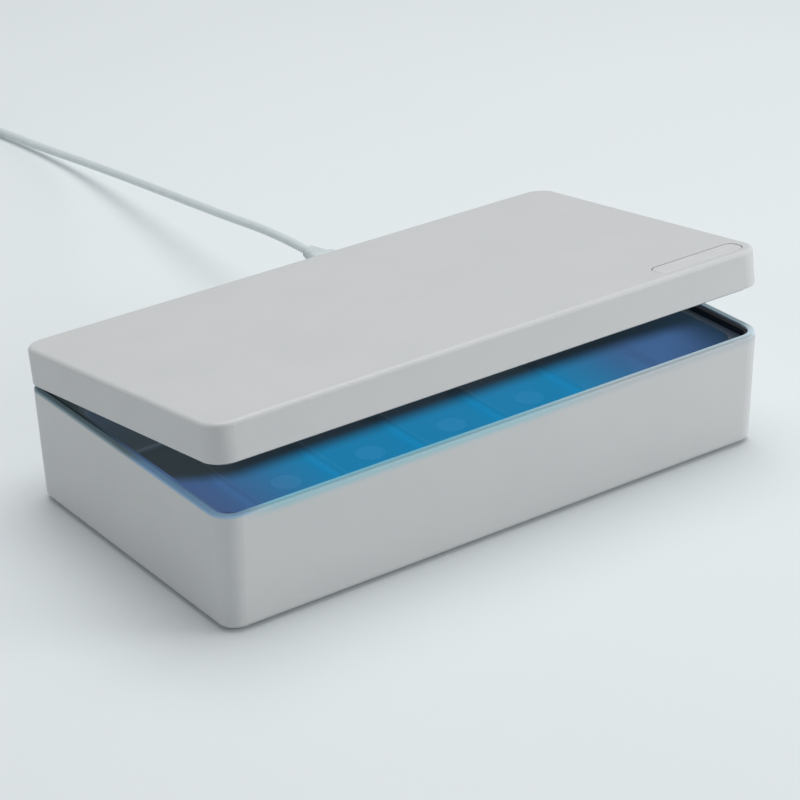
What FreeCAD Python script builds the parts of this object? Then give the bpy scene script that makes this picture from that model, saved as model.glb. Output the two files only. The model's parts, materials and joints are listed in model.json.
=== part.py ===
"""Light box for a phone: hinged lid, bright inner tub, flush button bar and a lead on the rear wall.

Drawn in millimetres about the middle of the box: X along it, Y from the front (-) to the hinge (+), Z up from
the floor. The lid's pieces are drawn shut and then turned about the hinge to the ajar rest pose.
"""
import FreeCAD
import Part
import math
import os

V = FreeCAD.Vector

# Box, with the lid shut
length = 220.0
width = 122.0
base_height = 40.8
lid_height = 13.2
corner_radius = 8.0
base_draft = 1.4
bottom_round = 2.5
rim_round = 0.8
lid_top_round = 1.5
lid_edge_round = 0.6
parting_gap = 0.4
lid_rest_angle = 8.0

# Walls and clearances
base_wall = 2.6
base_floor = 2.2
lid_wall = 2.2
lid_top = 2.0
fit_gap = 0.3
slide_gap = 0.08
pin_fit = 0.02
screw_fit = 0.05

# Chamber liner
rim_step = 3.2
flange_thick = 1.4
ledge = 4.0
rear_ledge = 15.0
chamber_depth = 25.4
chamber_draft = 1.5
chamber_radius = 7.0
liner_wall = 1.6
floor_round = 3.0
rest_rib_width = 2.4
rest_rib_height = 2.0
rest_rib_inset = 14.0
rest_rib_round = 0.8

# Ribs inside the base wall that carry the liner's flange
wall_rib_thick = 1.6
wall_rib_depth = 2.0
front_rib_count = 6
front_rib_inset = 20.0
side_rib_count = 3
side_rib_inset = 25.0
rear_rib_left_inset = 12.0
rear_rib_right_inset = 22.0
rear_rib_from_board = 24.0

# Feet and the screws through the floor
foot_radius = 6.0
foot_proud = 0.8
foot_seat = 0.6
foot_inset_x = 18.0
foot_inset_y = 16.0
screw_radius = 1.3
screw_head_radius = 2.6
screw_head = 1.8
screw_wall = 1.9
floor_boss = 5.2
base_screw_inset_x = 34.0
base_screw_inset_front = 19.0
base_screw_inset_rear = 29.0
base_screw_bite = 4.6

# Small screws for the boards and the lid's panel
small_screw_radius = 0.9
small_head_radius = 1.8
small_head = 1.0
small_bite = 2.0
standoff_radius = 2.6

# Ultraviolet light bars
led_count = 4
led_pitch = 34.0
led_size = 3.5
led_height = 0.8
led_board_margin = 26.0
led_board_width = 12.0
board_thick = 1.6
led_standoff = 1.2
led_screw_offset = 17.0
window_radius = 5.0
window_thick = 1.0
window_ledge = 1.0

# Main board behind the rear wall
main_board_reach_left = 47.0
main_board_reach_right = 35.0
main_board_low = 15.0
main_board_top_gap = 0.5
main_board_gap = 6.6
main_screw_inset = 6.0
chip_size = 7.0
chip_height = 1.0
chip_pitch = 14.0
inductor_radius = 4.5
inductor_height = 4.0
capacitor_radius = 2.5
capacitor_height = 5.2
capacitor_pitch = 7.0
connector_width = 7.6
connector_depth = 4.2
connector_height = 4.0

# Inlet and the plug in it
plug_from_hinge = 33.0
plug_drop = 6.8
inlet_recess = 1.2
inlet_margin = 0.7
socket_width = 8.94
socket_height = 3.2
socket_skin = 0.3
tip_width = 8.2
tip_height = 2.4
tip_skin = 0.25
tip_length = 5.6
tongue_width = 6.6
tongue_thick = 0.7
tongue_length = 5.0
grip_width = 11.0
grip_height = 7.0
grip_length = 38.0
grip_round = 2.4
relief_neck = 0.7
relief_length = 9.0
relief_width = 5.6
relief_height = 4.4

# Hinge
hinge_inset = 42.0
hinge_span = 32.0
hinge_set_back = 2.6
barrel_radius = 3.4
lid_knuckle = 15.2
tube_knuckle = 14.0
knuckle_gap = 0.4
notch_gap = 0.35
web_drop = 10.0
web_angle = 35.0
web_root = 1.0
pin_radius = 1.6
tube_bore = 1.1
bush_radius = 2.2
wire_radius = 0.8
wire_bend = 1.6
wire_hole = 1.2
wire_slope = 50.0
blind_end = 2.0

# Lid panel, its skirt and the seal that the skirt meets
panel_set = 0.8
panel_thick = 1.8
panel_fit = 0.2
skirt_wall = 1.6
skirt_gap = 0.4
skirt_drop = 1.2
seal_wall = 1.2
seal_clear = 0.1
panel_boss_radius = 3.0
panel_bite = 6.0
panel_screw_inset_x = 13.0
panel_screw_inset_y = 14.0
front_screw_x = 54.0
front_screw_gap = 13.8

# Button bar and its board
button_inset_x = 22.2
button_inset_y = 7.8
button_length = 36.0
button_width = 8.0
button_radius = 3.0
button_flange = 1.0
button_flange_thick = 0.8
button_edge = 0.4
control_board_length = 34.0
control_board_front = 4.0
control_board_rear = 5.5
control_board_thick = 1.2
control_post = 3.0
control_screw_x = 15.0
switch_size = 6.0
switch_height = 2.4
plunger_radius = 1.5
plunger_reach = 1.0
switch_floor = 0.4
status_led_x = 8.0
hall_x = -9.0
sensor_size = 3.0
sensor_height = 1.0
magnet_length = 10.0
magnet_width = 1.6
magnet_height = 3.0
lid_plug_width = 6.0
lid_plug_depth = 4.0
lid_plug_height = 3.0
control_plug_height = 1.8

# Lead: a free stretch, a tied coil and a plug at the far end
cable_radius = 1.7
cable_steps = (
    (0.0, 21.5, 0.0), (2.0, 61.5, -6.2), (7.0, 104.5, -13.8), (11.4, 149.5, -21.2),
    (14.2, 194.5, -28.0), (12.5, 229.0, -31.4), (9.5, 256.0, -32.1), (4.5, 281.5, -32.1))
coil_outer = 24.4
coil_pitch = 3.9
coil_turns_in = 3.0
coil_turns_climb = 0.5
coil_turns_out = 2.75
tie_thick = 0.6
tie_gap = 0.4
tie_width = 4.0
tie_angle = 200.0
tail_steps = ((14.0, 0.0), (28.0, -2.6), (42.0, -2.6))
usb_grip_length = 24.0
usb_grip_width = 15.6
usb_grip_height = 7.8
usb_grip_round = 2.4
usb_relief_length = 9.0
usb_shell_length = 13.0
usb_shell_width = 12.0
usb_shell_height = 4.5
usb_shell_skin = 0.35
usb_tongue_width = 10.6
usb_tongue_thick = 1.8
usb_tongue_set_back = 1.0

# Heights and places that follow from the sizes above
base_bottom = foot_proud
shell_floor = base_bottom + base_floor
rim_z = base_bottom + base_height
lid_z = rim_z + parting_gap
lid_roof = lid_z + lid_height - lid_top
flange_top = rim_z - rim_step
flange_bottom = flange_top - flange_thick
chamber_floor = flange_top - chamber_depth
liner_bottom = chamber_floor - liner_wall
boss_top = base_bottom + floor_boss
panel_bottom = lid_z + panel_set
panel_top = panel_bottom + panel_thick
hinge_y = width / 2 + hinge_set_back
hinge_z = rim_z + parting_gap / 2
plug_z = rim_z - plug_drop
chamber_inset = base_wall + fit_gap + ledge
chamber_rear = width / 2 - base_wall - fit_gap - rear_ledge
led_y = (chamber_rear - width / 2 + chamber_inset) / 2
led_x = [(i - (led_count - 1) / 2) * led_pitch for i in range(led_count)]
led_board_half = led_x[-1] + led_board_margin
led_screw_x = (-led_x[-1] - led_screw_offset, led_x[-1] + led_screw_offset)
board_rear = width / 2 - base_wall - main_board_gap
board_front = board_rear - board_thick
hinge_x = length / 2 - hinge_inset
plug_x = hinge_x - plug_from_hinge
main_board_left = plug_x - main_board_reach_left
main_board_right = plug_x + main_board_reach_right
button_x = length / 2 - button_inset_x
button_y = -width / 2 + button_inset_y
button_screw_x = button_x - control_board_length / 2 - panel_boss_radius - front_screw_gap
rear_rib_x = (
    -length / 2 + rear_rib_left_inset, main_board_left - rear_rib_from_board, length / 2 - rear_rib_right_inset)
along_x = V(1, 0, 0)
along_y = V(0, 1, 0)
along_z = V(0, 0, 1)


def outline(x0, x1, y0, y1, r, z):
    """Closed wire of a rectangle with round corners, lying flat at height z."""
    corners = ((x1 - r, y1 - r, 0), (x0 + r, y1 - r, 90), (x0 + r, y0 + r, 180), (x1 - r, y0 + r, 270))
    arcs = []
    for cx, cy, start in corners:
        turn = [math.radians(start + step) for step in (0, 45, 90)]
        arcs.append([V(cx + r * math.cos(a), cy + r * math.sin(a), z) for a in turn])
    edges = []
    for arc, following in zip(arcs, arcs[1:] + arcs[:1]):
        edges.append(Part.Arc(*arc).toShape())
        edges.append(Part.LineSegment(arc[2], following[0]).toShape())
    return Part.Wire(edges)


def centred(size_x, size_y, r, z, x=0.0, y=0.0):
    """Round-cornered outline of a given size about a centre."""
    return outline(x - size_x / 2, x + size_x / 2, y - size_y / 2, y + size_y / 2, r, z)


def raised(wire, height):
    """Solid that stands on a flat outline."""
    return Part.Face(wire).extrude(V(0, 0, height))


def block(x0, x1, y0, y1, z0, z1):
    """Plain block between two corners."""
    return Part.makeBox(x1 - x0, y1 - y0, z1 - z0, V(x0, y0, z0))


def rod(x, y, z, r, height, direction=along_z):
    """Round bar from a point, along a direction."""
    return Part.makeCylinder(r, height, V(x, y, z), direction)


def edges_at(shape, z):
    """Edges of a shape that lie wholly at height z."""
    return [e for e in shape.Edges if all(abs(v.Z - z) < 1e-4 for v in e.Vertexes)]


def facing_rear(shape, x, y, z):
    """Turns a shape drawn upwards so that it runs along Y, and puts its origin at a point."""
    shape.rotate(V(0, 0, 0), along_x, -90)
    shape.translate(V(x, y, z))
    return shape


def sleeve(size_x, size_y, r, skin, height):
    """Upright tube with a round-cornered section and an even wall."""
    outside = raised(centred(size_x, size_y, r, 0), height)
    return outside.cut(raised(centred(size_x - 2 * skin, size_y - 2 * skin, r - skin, 0), height))


def ajar(shape):
    """Turns a lid piece from shut to its rest angle about the hinge."""
    shape.rotate(V(0, hinge_y, hinge_z), along_x, -lid_rest_angle)
    return shape


def runs(points, bend=None):
    """Wire of straight runs joined by tangent arcs; the arcs are as large as the runs allow, or of one bend radius."""
    edges = []
    radii = []
    start = points[0]
    for before, corner, after in zip(points, points[1:], points[2:]):
        back = before - corner
        ahead = after - corner
        half_turn = (math.pi - back.getAngle(ahead)) / 2
        radius = bend or 0.45 * min(back.Length, ahead.Length) / math.tan(half_turn)
        cut = radius * math.tan(half_turn)
        back.normalize()
        ahead.normalize()
        inward = back + ahead
        inward.normalize()
        middle = corner + inward * (radius / math.cos(half_turn) - radius)
        edges.append(Part.LineSegment(start, corner + back * cut).toShape())
        edges.append(Part.Arc(corner + back * cut, middle, corner + ahead * cut).toShape())
        radii.append(radius)
        start = corner + ahead * cut
    edges.append(Part.LineSegment(start, points[-1]).toShape())
    return Part.Wire(edges), radii


def tube(path, start, direction, r):
    """Round tube along a wire."""
    return path.makePipeShell([Part.Wire(Part.makeCircle(r, start, direction))], True, False)


def wire_tube(points):
    """Insulated wire bent round its small corners."""
    path, radii = runs(points, wire_bend)
    return tube(path, points[0], points[1] - points[0], wire_radius)


def base_outline(z, inset=0.0):
    """Outline of the drafted base at height z, set in from its outer face."""
    s = inset + base_draft * (rim_z - z) / base_height
    return centred(length - 2 * s, width - 2 * s, corner_radius - s, z)


def lid_outline(z, inset=0.0):
    """Outline of the straight-sided lid, set in from its outer face."""
    return centred(length - 2 * inset, width - 2 * inset, corner_radius - inset, z)


def chamber_outline(z, grow=0.0):
    """Outline of the drafted chamber at height z, grown outwards by a wall."""
    s = chamber_draft * (flange_top - z) / chamber_depth - grow
    x = length / 2 - chamber_inset - s
    return outline(-x, x, -width / 2 + chamber_inset + s, chamber_rear - s, chamber_radius - s, z)


def base_screw_points():
    """Places of the four screws between the shell and the liner."""
    x = length / 2 - base_screw_inset_x
    front = -width / 2 + base_screw_inset_front
    rear = width / 2 - base_screw_inset_rear
    return [(-x, front), (x, front), (-x, rear), (x, rear)]


def foot_points():
    """Places of the four feet."""
    x = length / 2 - foot_inset_x
    y = width / 2 - foot_inset_y
    return [(-x, -y), (x, -y), (-x, y), (x, y)]


def main_screw_points():
    """Places of the two screws that hold the main board, in X and Z."""
    z = main_board_low + main_screw_inset
    return [(main_board_left + main_screw_inset, z), (main_board_right - main_screw_inset, z)]


def knuckle(x0, x1, side):
    """Hinge barrel with its gusset; side is -1 under the base's rim and 1 above the lid's edge."""
    root = width / 2 - web_root
    angle = math.radians(web_angle)
    tip = V(x0, hinge_y + barrel_radius * math.cos(angle), hinge_z + side * barrel_radius * math.sin(angle))
    corners = [
        V(x0, root, hinge_z + side * web_drop),
        tip,
        V(x0, hinge_y, hinge_z),
        V(x0, root, hinge_z + side * (parting_gap + fit_gap))]
    web = Part.Face(Part.makePolygon(corners + corners[:1])).extrude(V(x1 - x0, 0, 0))
    return rod(x0, hinge_y, hinge_z, barrel_radius, x1 - x0, along_x).fuse(web)


def hinge_ranges():
    """X ranges of the base's and the lid's knuckles on both hinges."""
    low = hinge_x - hinge_span / 2
    high = hinge_x + hinge_span / 2
    side = (hinge_span - lid_knuckle) / 2 - knuckle_gap
    base = [(low, low + side), (high - side, high), (-high, -high + tube_knuckle)]
    lid = [(low + side + knuckle_gap, high - side - knuckle_gap), (-high + tube_knuckle + knuckle_gap, -low)]
    return base, lid


def notches(ranges):
    """Clearance cuts round the other half's knuckles."""
    cuts = []
    for x0, x1 in ranges:
        reach = x1 - x0 + 2 * knuckle_gap
        cuts.append(rod(x0 - knuckle_gap, hinge_y, hinge_z, barrel_radius + notch_gap, reach, along_x))
    return cuts


def tube_ends():
    """X of the hollow pin's two ends: inside the base's knuckle and inside the lid's."""
    base, lid = hinge_ranges()
    return base[2][0] + 3 * blind_end, lid[1][1] - 3 * blind_end


def wire_way(x, side, reach):
    """Slanting hole from the hinge axis into the base (side -1) or into the lid (side 1)."""
    slope = math.radians(wire_slope)
    return rod(x, hinge_y, hinge_z, wire_hole, reach, V(0, -math.cos(slope), side * math.sin(slope)))


def wire_turn(x, side, reach):
    """Point on that slanting line, a distance from the hinge axis."""
    slope = math.radians(wire_slope)
    return V(x, hinge_y - reach * math.cos(slope), hinge_z + side * reach * math.sin(slope))


wire_reach = (hinge_set_back + base_wall + 2 * wire_bend) / math.cos(math.radians(wire_slope))
base_wire_x = hinge_ranges()[0][2][0] + 2 * blind_end
lid_wire_x = hinge_ranges()[1][1][1] - 2 * blind_end
wire_join = (sum(tube_ends())) / 2


def base_shell():
    """Moulded tray: drafted walls, rounded bottom, ribs under the liner, bosses, inlet and hinge knuckles."""
    outside = Part.makeLoft([base_outline(base_bottom), base_outline(rim_z)], True, True)
    outside = outside.makeFillet(bottom_round, edges_at(outside, base_bottom))
    outside = outside.makeFillet(rim_round, edges_at(outside, rim_z))
    above = rim_z + rim_step
    cavity = Part.makeLoft([base_outline(shell_floor, base_wall), base_outline(above, base_wall)], True, True)
    inside = []
    reach = base_wall + wall_rib_depth
    half = wall_rib_thick / 2
    for i in range(front_rib_count):
        x = (i / (front_rib_count - 1) - 0.5) * (length - 2 * front_rib_inset)
        inside.append(block(x - half, x + half, -width / 2, -width / 2 + reach, shell_floor, flange_bottom))
    for x in rear_rib_x:
        inside.append(block(x - half, x + half, width / 2 - reach, width / 2, shell_floor, flange_bottom))
    for i in range(side_rib_count):
        y = (i / (side_rib_count - 1) - 0.5) * (width - 2 * side_rib_inset)
        for x0, x1 in ((-length / 2, -length / 2 + reach), (length / 2 - reach, length / 2)):
            inside.append(block(x0, x1, y - half, y + half, shell_floor, flange_bottom))
    for x, y in base_screw_points():
        inside.append(rod(x, y, base_bottom, screw_head_radius + screw_wall, floor_boss))
    for x, z in main_screw_points():
        inside.append(rod(x, board_rear, z, standoff_radius, main_board_gap + base_wall, along_y))
    shell = outside.cut(cavity).fuse([piece.common(outside) for piece in inside])
    base_ranges, lid_ranges = hinge_ranges()
    shell = shell.cut(notches(lid_ranges))
    shell = shell.fuse([knuckle(x0, x1, -1) for x0, x1 in base_ranges])
    return shell.cut(base_shell_cuts(base_ranges)).removeSplitter()


def base_shell_cuts(base_ranges):
    """Holes in the base shell: screws, feet, board standoffs, inlet and hinge bores."""
    cuts = []
    for x, y in base_screw_points():
        cuts.append(rod(x, y, base_bottom, screw_radius + fit_gap, floor_boss))
        cuts.append(rod(x, y, base_bottom, screw_head_radius + fit_gap, screw_head + fit_gap))
    for x, y in foot_points():
        cuts.append(rod(x, y, base_bottom, foot_radius + slide_gap, foot_seat))
    for x, z in main_screw_points():
        cuts.append(rod(x, board_rear, z, small_screw_radius + screw_fit, 2 * small_bite + fit_gap, along_y))
    recess = centred(grip_width + 2 * inlet_margin, grip_height + 2 * inlet_margin, grip_round, 0)
    cuts.append(facing_rear(raised(recess, 2 * inlet_recess), plug_x, width / 2 - inlet_recess, plug_z))
    mouth_x = socket_width + 2 * slide_gap
    mouth_z = socket_height + 2 * slide_gap
    mouth = centred(mouth_x, mouth_z, mouth_z / 2 - slide_gap, 0)
    cuts.append(facing_rear(raised(mouth, base_wall + main_board_gap), plug_x, board_rear, plug_z))
    for x0, x1 in base_ranges[:2]:
        cuts.append(rod(x0, hinge_y, hinge_z, pin_radius + pin_fit, x1 - x0, along_x))
    x0, x1 = base_ranges[2]
    cuts.append(rod(x0 + blind_end, hinge_y, hinge_z, pin_radius + pin_fit, x1 - x0 - blind_end, along_x))
    cuts.append(wire_way(base_wire_x, -1, wire_reach))
    return cuts


def chamber_liner():
    """Bright tub with a flange under the rim, rest ribs on its floor, window seats and screw bosses."""
    flange = raised(base_outline(flange_bottom, base_wall + fit_gap), flange_thick)
    walls = [chamber_outline(liner_bottom, liner_wall), chamber_outline(flange_top, liner_wall)]
    hollow = Part.makeLoft([chamber_outline(chamber_floor), chamber_outline(rim_z)], True, True)
    hollow = hollow.makeFillet(floor_round, edges_at(hollow, chamber_floor))
    tub = Part.makeLoft(walls, True, True).fuse(flange)
    extras = [rod(x, y, boss_top, screw_head_radius, liner_bottom - boss_top) for x, y in base_screw_points()]
    for x in led_screw_x:
        extras.append(rod(x, led_y, liner_bottom - led_standoff, standoff_radius, led_standoff))
    tub = tub.fuse(extras).cut(hollow).fuse(rest_ribs())
    cuts = []
    for x, y in base_screw_points():
        cuts.append(rod(x, y, boss_top, screw_radius + screw_fit, base_screw_bite + fit_gap))
    for x in led_screw_x:
        bite = small_bite + screw_fit
        cuts.append(rod(x, led_y, liner_bottom - led_standoff, small_screw_radius + screw_fit, bite))
    for x in led_x:
        cuts.append(rod(x, led_y, liner_bottom, window_radius - window_ledge, liner_wall))
        cuts.append(rod(x, led_y, chamber_floor - window_thick, window_radius + slide_gap, window_thick))
    return tub.cut(cuts).removeSplitter()


def rest_ribs():
    """Low ribs across the chamber floor that hold a phone clear of it, one each side of every window."""
    ribs = []
    half = rest_rib_width / 2
    y0 = -width / 2 + chamber_inset + rest_rib_inset
    y1 = chamber_rear - rest_rib_inset
    top = chamber_floor + rest_rib_height
    for i in range(led_count + 1):
        x = (i - led_count / 2) * led_pitch
        rib = block(x - half, x + half, y0, y1, chamber_floor - liner_wall / 2, top)
        ribs.append(rib.makeFillet(rest_rib_round, edges_at(rib, top)))
    return ribs


def base_feet():
    """Four round rubber pads let into the floor."""
    feet = []
    for x, y in foot_points():
        foot = rod(x, y, 0, foot_radius, foot_proud + foot_seat)
        feet.append(foot.makeFillet(foot_proud / 2, edges_at(foot, 0)))
    return Part.makeCompound(feet)


def base_screws():
    """Four screws from below, through the floor bosses into the liner."""
    screws = []
    seat = base_bottom + screw_head + fit_gap
    for x, y in base_screw_points():
        head = rod(x, y, seat - screw_head, screw_head_radius, screw_head)
        screws.append(head.fuse(rod(x, y, seat, screw_radius, boss_top + base_screw_bite - seat)))
    return Part.makeCompound(screws)


def main_board():
    """Upright circuit board on two standoffs of the rear wall."""
    top = flange_bottom - main_board_top_gap
    board = block(main_board_left, main_board_right, board_front, board_rear, main_board_low, top)
    holes = []
    for x, z in main_screw_points():
        holes.append(rod(x, board_front, z, small_screw_radius + slide_gap, board_thick, along_y))
    return board.cut(holes)


def board_screws():
    """Two screws that clamp the main board to its standoffs."""
    screws = []
    for x, z in main_screw_points():
        head = rod(x, board_front - small_head, z, small_head_radius, small_head, along_y)
        shank = rod(x, board_front, z, small_screw_radius, board_thick + 2 * small_bite, along_y)
        screws.append(head.fuse(shank))
    return Part.makeCompound(screws)


def usb_socket():
    """Metal shell of the inlet, from the board to just inside the recess in the rear wall."""
    depth = width / 2 - inlet_recess - slide_gap - board_rear
    shell = sleeve(socket_width, socket_height, socket_height / 2 - slide_gap, socket_skin, depth)
    return facing_rear(shell, plug_x, board_rear, plug_z)


def usb_socket_tongue():
    """Contact tongue in the inlet, on a block that fills the back of the shell."""
    back = width / 2 - inlet_recess - fit_gap - tip_length - fit_gap - board_rear
    inner_x = socket_width - 2 * socket_skin - 2 * screw_fit
    inner_z = socket_height - 2 * socket_skin - 2 * screw_fit
    fill = raised(centred(inner_x, inner_z, inner_z / 2 - slide_gap, 0), back)
    half = tongue_thick / 2
    tongue = block(-tongue_width / 2, tongue_width / 2, -half, half, 0, back + tongue_length)
    return facing_rear(fill.fuse(tongue), plug_x, board_rear, plug_z)


def board_chips():
    """Controller and driver chips on the rear face of the main board."""
    z = main_board_low + 2 * main_screw_inset
    chips = []
    for i in range(2):
        x = main_board_left + 2 * main_screw_inset + chip_size / 2 + i * chip_pitch
        half = chip_size / 2
        chips.append(block(x - half, x + half, board_rear, board_rear + chip_height, z - half, z + half))
    return Part.makeCompound(chips)


def board_inductor():
    """Power inductor beside the inlet."""
    x = main_board_right - main_screw_inset - 2 * inductor_radius
    z = main_board_low + main_screw_inset + inductor_radius
    return rod(x, board_rear, z, inductor_radius, inductor_height, along_y)


def board_capacitors():
    """Two can capacitors under the inlet."""
    z = main_board_low + main_screw_inset
    return Part.makeCompound([
        rod(plug_x + (i - 0.5) * capacitor_pitch, board_rear, z, capacitor_radius, capacitor_height, along_y)
        for i in range(2)])


def connector(x, z):
    """Wire socket on the rear face of the main board, centred on x and standing on z."""
    half = connector_width / 2
    return block(x - half, x + half, board_rear, board_rear + connector_depth, z, z + connector_height)


def harness_plug():
    """Place of the wire socket for the lid, at the board's left end."""
    return main_board_left + connector_width / 2, flange_bottom - main_board_top_gap - 2 * connector_height


def lamp_plug():
    """Place of the wire socket for the lower light bar."""
    return main_board_left + 3 * connector_width, main_board_low


def board_connectors():
    """The main board's two wire sockets."""
    return Part.makeCompound([connector(*harness_plug()), connector(*lamp_plug())])


def light_board(z):
    """Metal-cored strip with its screw holes, lying flat from z upwards."""
    board = block(-led_board_half, led_board_half, led_y - led_board_width / 2, led_y + led_board_width / 2,
                  z, z + board_thick)
    return board.cut([rod(x, led_y, z, small_screw_radius + slide_gap, board_thick) for x in led_screw_x])


def light_chips(z):
    """Row of square lamps, from z upwards."""
    half = led_size / 2
    return [block(x - half, x + half, led_y - half, led_y + half, z, z + led_height) for x in led_x]


def base_led_board():
    """Lower light bar's strip, hung from the liner's standoffs."""
    return light_board(liner_bottom - led_standoff - board_thick)


def base_leds():
    """Lamps that shine up through the windows."""
    return Part.makeCompound(light_chips(liner_bottom - led_standoff))


def base_led_windows():
    """Quartz discs let into the chamber floor."""
    z = chamber_floor - window_thick
    return Part.makeCompound([rod(x, led_y, z, window_radius, window_thick) for x in led_x])


def base_led_screws():
    """Two screws that hold the lower strip."""
    z = liner_bottom - led_standoff - board_thick
    screws = []
    for x in led_screw_x:
        head = rod(x, led_y, z - small_head, small_head_radius, small_head)
        screws.append(head.fuse(rod(x, led_y, z, small_screw_radius, board_thick + small_bite)))
    return Part.makeCompound(screws)


def base_led_lead():
    """Wire from the main board down behind the tub and under it to the lower strip."""
    x, z = lamp_plug()
    y = board_rear + connector_depth / 2
    low = liner_bottom - led_standoff - board_thick - wire_radius
    start = V(x, y, z)
    return wire_tube([start, V(x, y, low), V(x, led_y, low)])


def hinge_pin():
    """Solid steel pin of the right hinge."""
    return rod(hinge_x - hinge_span / 2, hinge_y, hinge_z, pin_radius, hinge_span, along_x)


def hinge_tube():
    """Hollow pin of the left hinge; the lid's wires turn inside it."""
    x0, x1 = tube_ends()
    reach = x1 - knuckle_gap - x0
    pin = rod(x0, hinge_y, hinge_z, pin_radius, reach, along_x)
    return pin.cut(rod(x0, hinge_y, hinge_z, tube_bore, reach, along_x))


def base_harness():
    """Wire from the main board along the rear bay, up the slanting hole and into the hollow pin."""
    x, z = harness_plug()
    y = board_rear + connector_depth / 2
    z += connector_height / 2
    start = V(x - connector_width / 2, y, z)
    inner = wire_turn(base_wire_x, -1, wire_reach)
    return wire_tube([
        start,
        V(base_wire_x + web_drop, y, z),
        V(inner.x, inner.y, inner.z),
        V(base_wire_x, hinge_y, hinge_z),
        V(wire_join - fit_gap / 2, hinge_y, hinge_z)])


def sensor_magnet():
    """Bar magnet under the front ledge, below the lid's sensor."""
    x = button_x + hall_x
    y = -width / 2 + base_wall + 2 * fit_gap
    half = magnet_length / 2
    return block(x - half, x + half, y, y + magnet_width, flange_bottom - magnet_height, flange_bottom)


def rim_seal():
    """Dark silicone strip that stands on the liner's flange inside the rim; the shut lid's skirt meets its top."""
    inset = base_wall + screw_fit
    height = lid_z - skirt_drop - seal_clear - flange_top
    ring = raised(base_outline(flange_top, inset), height)
    return ring.cut(raised(base_outline(flange_top, inset + seal_wall), height))


def panel_screw_points():
    """Places of the screws between the panel and the lid."""
    x = length / 2 - panel_screw_inset_x
    y = width / 2 - panel_screw_inset_y
    return [(-x, y), (0, y), (x, y), (-x, -y), (-front_screw_x, -y), (button_screw_x, -y)]


def lid_shell():
    """Shallow cover: rounded top edge, straight walls, screw bosses, button slot and hinge knuckles."""
    outside = raised(lid_outline(lid_z), lid_height)
    outside = outside.makeFillet(lid_top_round, edges_at(outside, lid_z + lid_height))
    outside = outside.makeFillet(lid_edge_round, edges_at(outside, lid_z))
    shell = outside.cut(raised(lid_outline(lid_z, lid_wall), lid_height - lid_top))
    bosses = [rod(x, y, panel_top, panel_boss_radius, lid_roof - panel_top) for x, y in panel_screw_points()]
    base_ranges, lid_ranges = hinge_ranges()
    shell = shell.fuse(bosses).cut(notches(base_ranges))
    shell = shell.fuse([knuckle(x0, x1, 1) for x0, x1 in lid_ranges])
    cuts = []
    for x, y in panel_screw_points():
        cuts.append(rod(x, y, panel_top, small_screw_radius + screw_fit, panel_bite + fit_gap))
    slot = centred(button_length + 2 * fit_gap, button_width + 2 * fit_gap, button_radius + fit_gap,
                   lid_roof, button_x, button_y)
    cuts.append(raised(slot, lid_top))
    x0, x1 = lid_ranges[0]
    cuts.append(rod(x0, hinge_y, hinge_z, bush_radius, x1 - x0, along_x))
    x0, x1 = lid_ranges[1]
    cuts.append(rod(x0, hinge_y, hinge_z, bush_radius, tube_ends()[1] - x0, along_x))
    cuts.append(rod(x0, hinge_y, hinge_z, pin_radius, x1 - x0 - blind_end, along_x))
    cuts.append(wire_way(lid_wire_x, 1, wire_reach))
    return ajar(shell.cut(cuts).removeSplitter())


def lid_inner_panel():
    """Panel that closes the lid, with its nesting skirt, window seats, strip rails and board posts."""
    plate = raised(lid_outline(panel_bottom, lid_wall + panel_fit), panel_thick)
    skirt_inset = base_wall + skirt_gap
    skirt_low = lid_z - skirt_drop
    skirt = raised(lid_outline(skirt_low, skirt_inset), panel_bottom - skirt_low)
    skirt = skirt.cut(raised(lid_outline(skirt_low, skirt_inset + skirt_wall), panel_bottom - skirt_low))
    extras = [skirt]
    for x in led_screw_x:
        extras.append(rod(x, led_y, panel_top, standoff_radius, led_standoff))
    for side in (-1, 1):
        extras.append(rod(button_x + side * control_screw_x, button_y, panel_top, standoff_radius, control_post))
    cuts = []
    for x, y in panel_screw_points():
        cuts.append(rod(x, y, panel_bottom, small_screw_radius + slide_gap, panel_thick))
        cuts.append(rod(x, y, panel_bottom, small_head_radius + slide_gap, small_head))
    for x in led_x:
        cuts.append(rod(x, led_y, panel_bottom, window_radius - window_ledge, panel_thick))
        cuts.append(rod(x, led_y, panel_bottom, window_radius + slide_gap, window_thick))
    for x in led_screw_x:
        bite = small_bite + screw_fit
        cuts.append(rod(x, led_y, panel_top + led_standoff - bite, small_screw_radius + screw_fit, bite))
    for side in (-1, 1):
        x = button_x + side * control_screw_x
        bite = small_bite + screw_fit
        cuts.append(rod(x, button_y, panel_top + control_post - bite, small_screw_radius + screw_fit, bite))
    return ajar(plate.fuse(extras).cut(cuts).removeSplitter())


def lid_screws():
    """Screws from below that hold the panel to the lid's bosses."""
    screws = []
    seat = panel_bottom + small_head
    for x, y in panel_screw_points():
        head = rod(x, y, panel_bottom, small_head_radius, small_head)
        screws.append(head.fuse(rod(x, y, seat, small_screw_radius, panel_top + panel_bite - seat)))
    return ajar(Part.makeCompound(screws))


def lid_led_board():
    """Upper light bar's strip on the panel's standoffs."""
    return ajar(light_board(panel_top + led_standoff))


def lid_leds():
    """Lamps that shine down through the panel's windows."""
    return ajar(Part.makeCompound(light_chips(panel_top + led_standoff - led_height)))


def lid_led_windows():
    """Quartz discs let into the panel from below."""
    discs = [rod(x, led_y, panel_bottom, window_radius, window_thick) for x in led_x]
    return ajar(Part.makeCompound(discs))


def lid_led_screws():
    """Two screws that hold the upper strip."""
    z = panel_top + led_standoff + board_thick
    screws = []
    for x in led_screw_x:
        head = rod(x, led_y, z, small_head_radius, small_head)
        reach = board_thick + small_bite
        screws.append(head.fuse(rod(x, led_y, z - reach, small_screw_radius, reach)))
    return ajar(Part.makeCompound(screws))


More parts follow.
